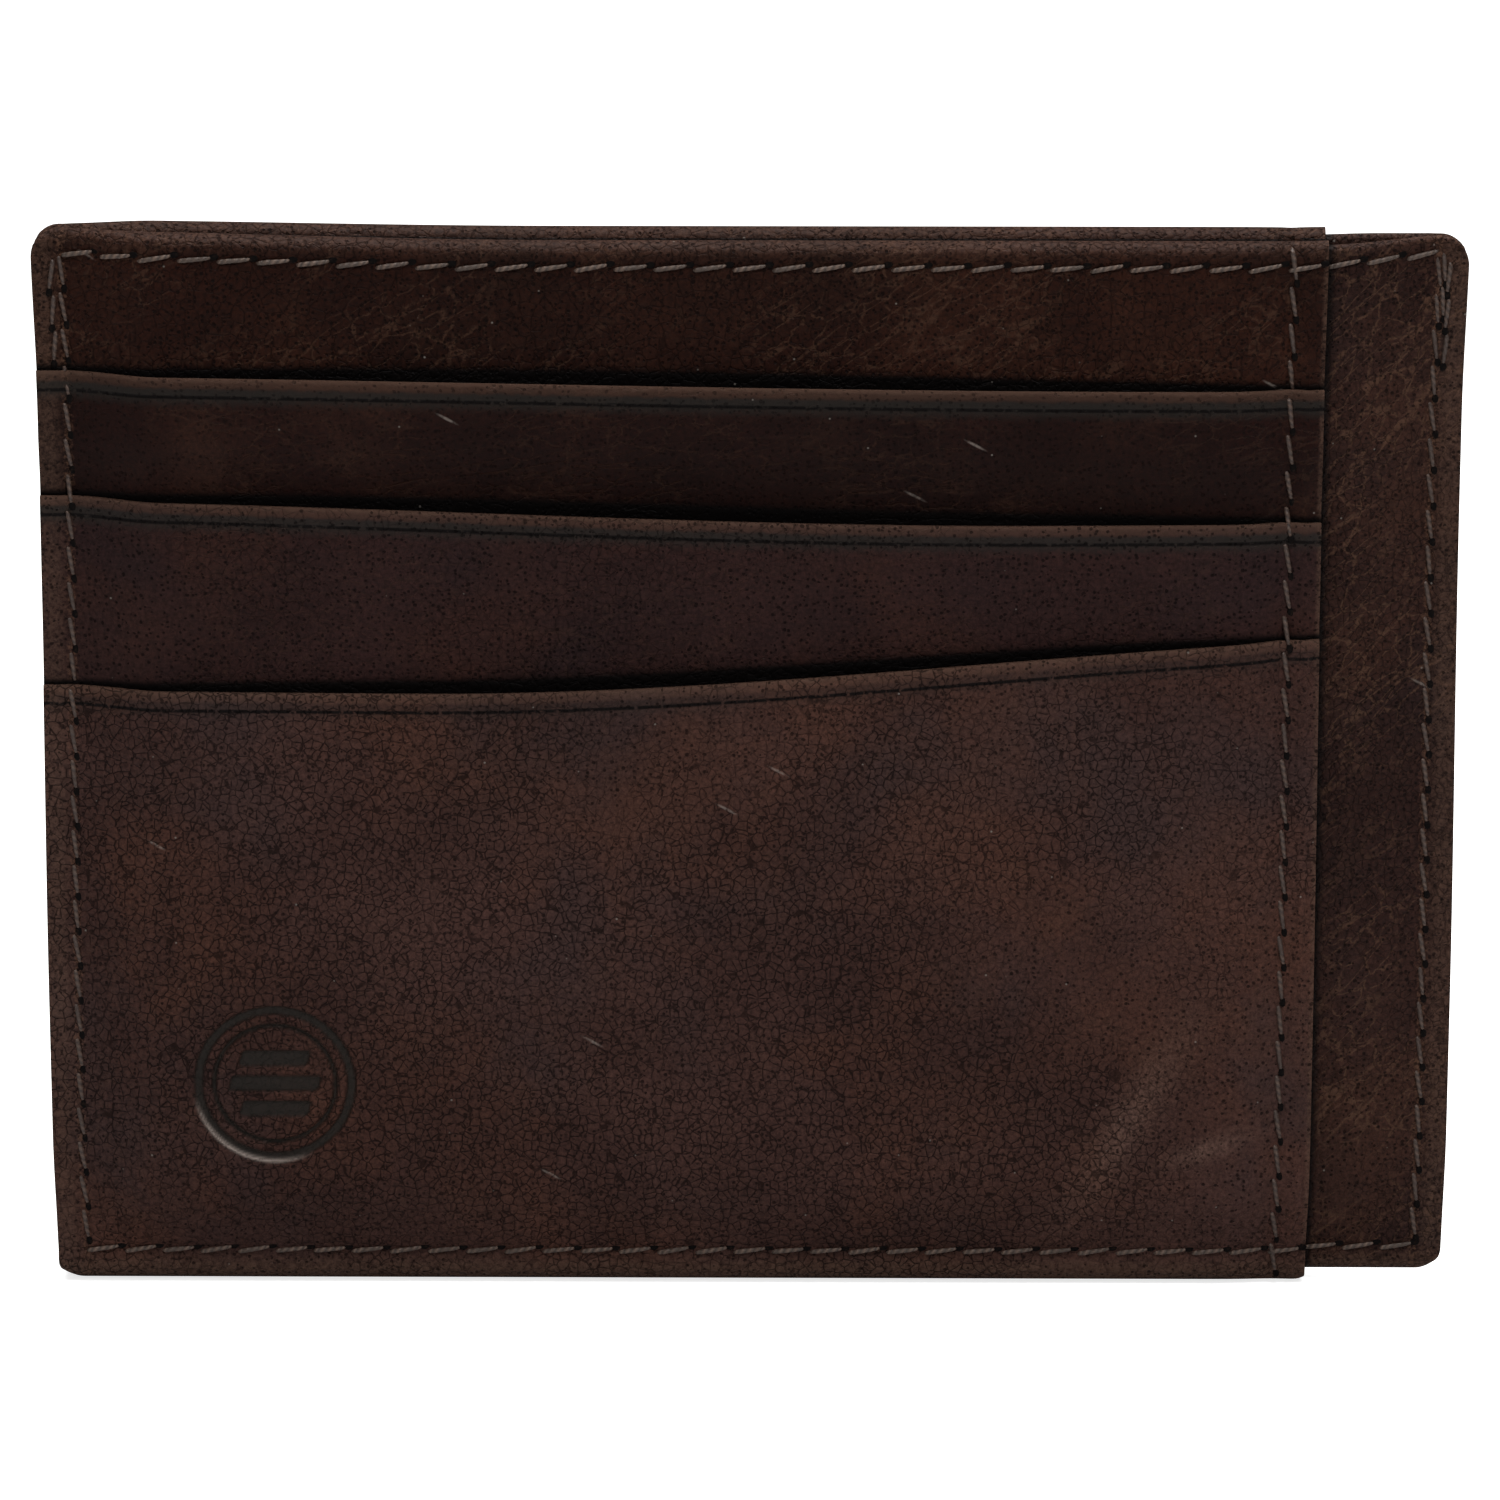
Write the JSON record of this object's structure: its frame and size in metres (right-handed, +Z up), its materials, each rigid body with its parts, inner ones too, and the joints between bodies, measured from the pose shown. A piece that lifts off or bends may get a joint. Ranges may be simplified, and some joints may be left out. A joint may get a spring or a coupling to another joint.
{
  "type": "card wallet",
  "caption": "Flat stitched leather card wallet with shingled card pockets on each face and a central compartment that opens at the top.",
  "frame": {"origin": "middle of the underside of the bottom fold, which the wallet stands on", "axes": "+X along the wallet towards the plain strip beside the front pockets, -Y out of the front leaf, +Z up to the mouth"},
  "size_m": [0.106, 0.0084, 0.082],
  "materials": {
    "leather": "dark chocolate pull-up full grain, semi-matt",
    "lining_cloth": "dark brown twill lining, matt",
    "thread": "taupe waxed polyester thread"
  },
  "bodies": {
    "back_leaf": {"bottom_fold": "leather", "left_turned_margin": "leather", "bottom_turned_margin": "leather", "right_turned_margin": "leather", "back_lining": "lining_cloth", "back_body_panel": "leather", "back_pocket_backing": "lining_cloth", "back_top_band": "leather", "back_upper_facing": "leather", "back_upper_tail": "lining_cloth", "back_middle_facing": "leather", "back_middle_tail": "lining_cloth", "back_lower_facing": "leather", "back_top_thread": "thread", "back_left_thread": "thread", "back_bottom_thread": "thread", "back_right_thread": "thread", "back_pocket_thread": "thread"},
    "front_leaf": {"front_lining": "lining_cloth", "front_body_panel": "leather", "front_pocket_backing": "lining_cloth", "front_top_band": "leather", "front_upper_facing": "leather", "front_upper_tail": "lining_cloth", "front_middle_facing": "leather", "front_middle_tail": "lining_cloth", "front_lower_facing": "leather", "front_top_thread": "thread", "front_left_thread": "thread", "front_bottom_thread": "thread", "front_right_thread": "thread", "front_pocket_thread": "thread"}
  },
  "joints": [
    {"name": "mouth", "type": "hinge", "parent": "back_leaf", "child": "front_leaf", "pos_m": [0, -0.00375, 0.00085], "axis": [1, 0, 0], "range_deg": [0, 5], "stiffness_Nm_per_rad": 0.05}
  ]
}
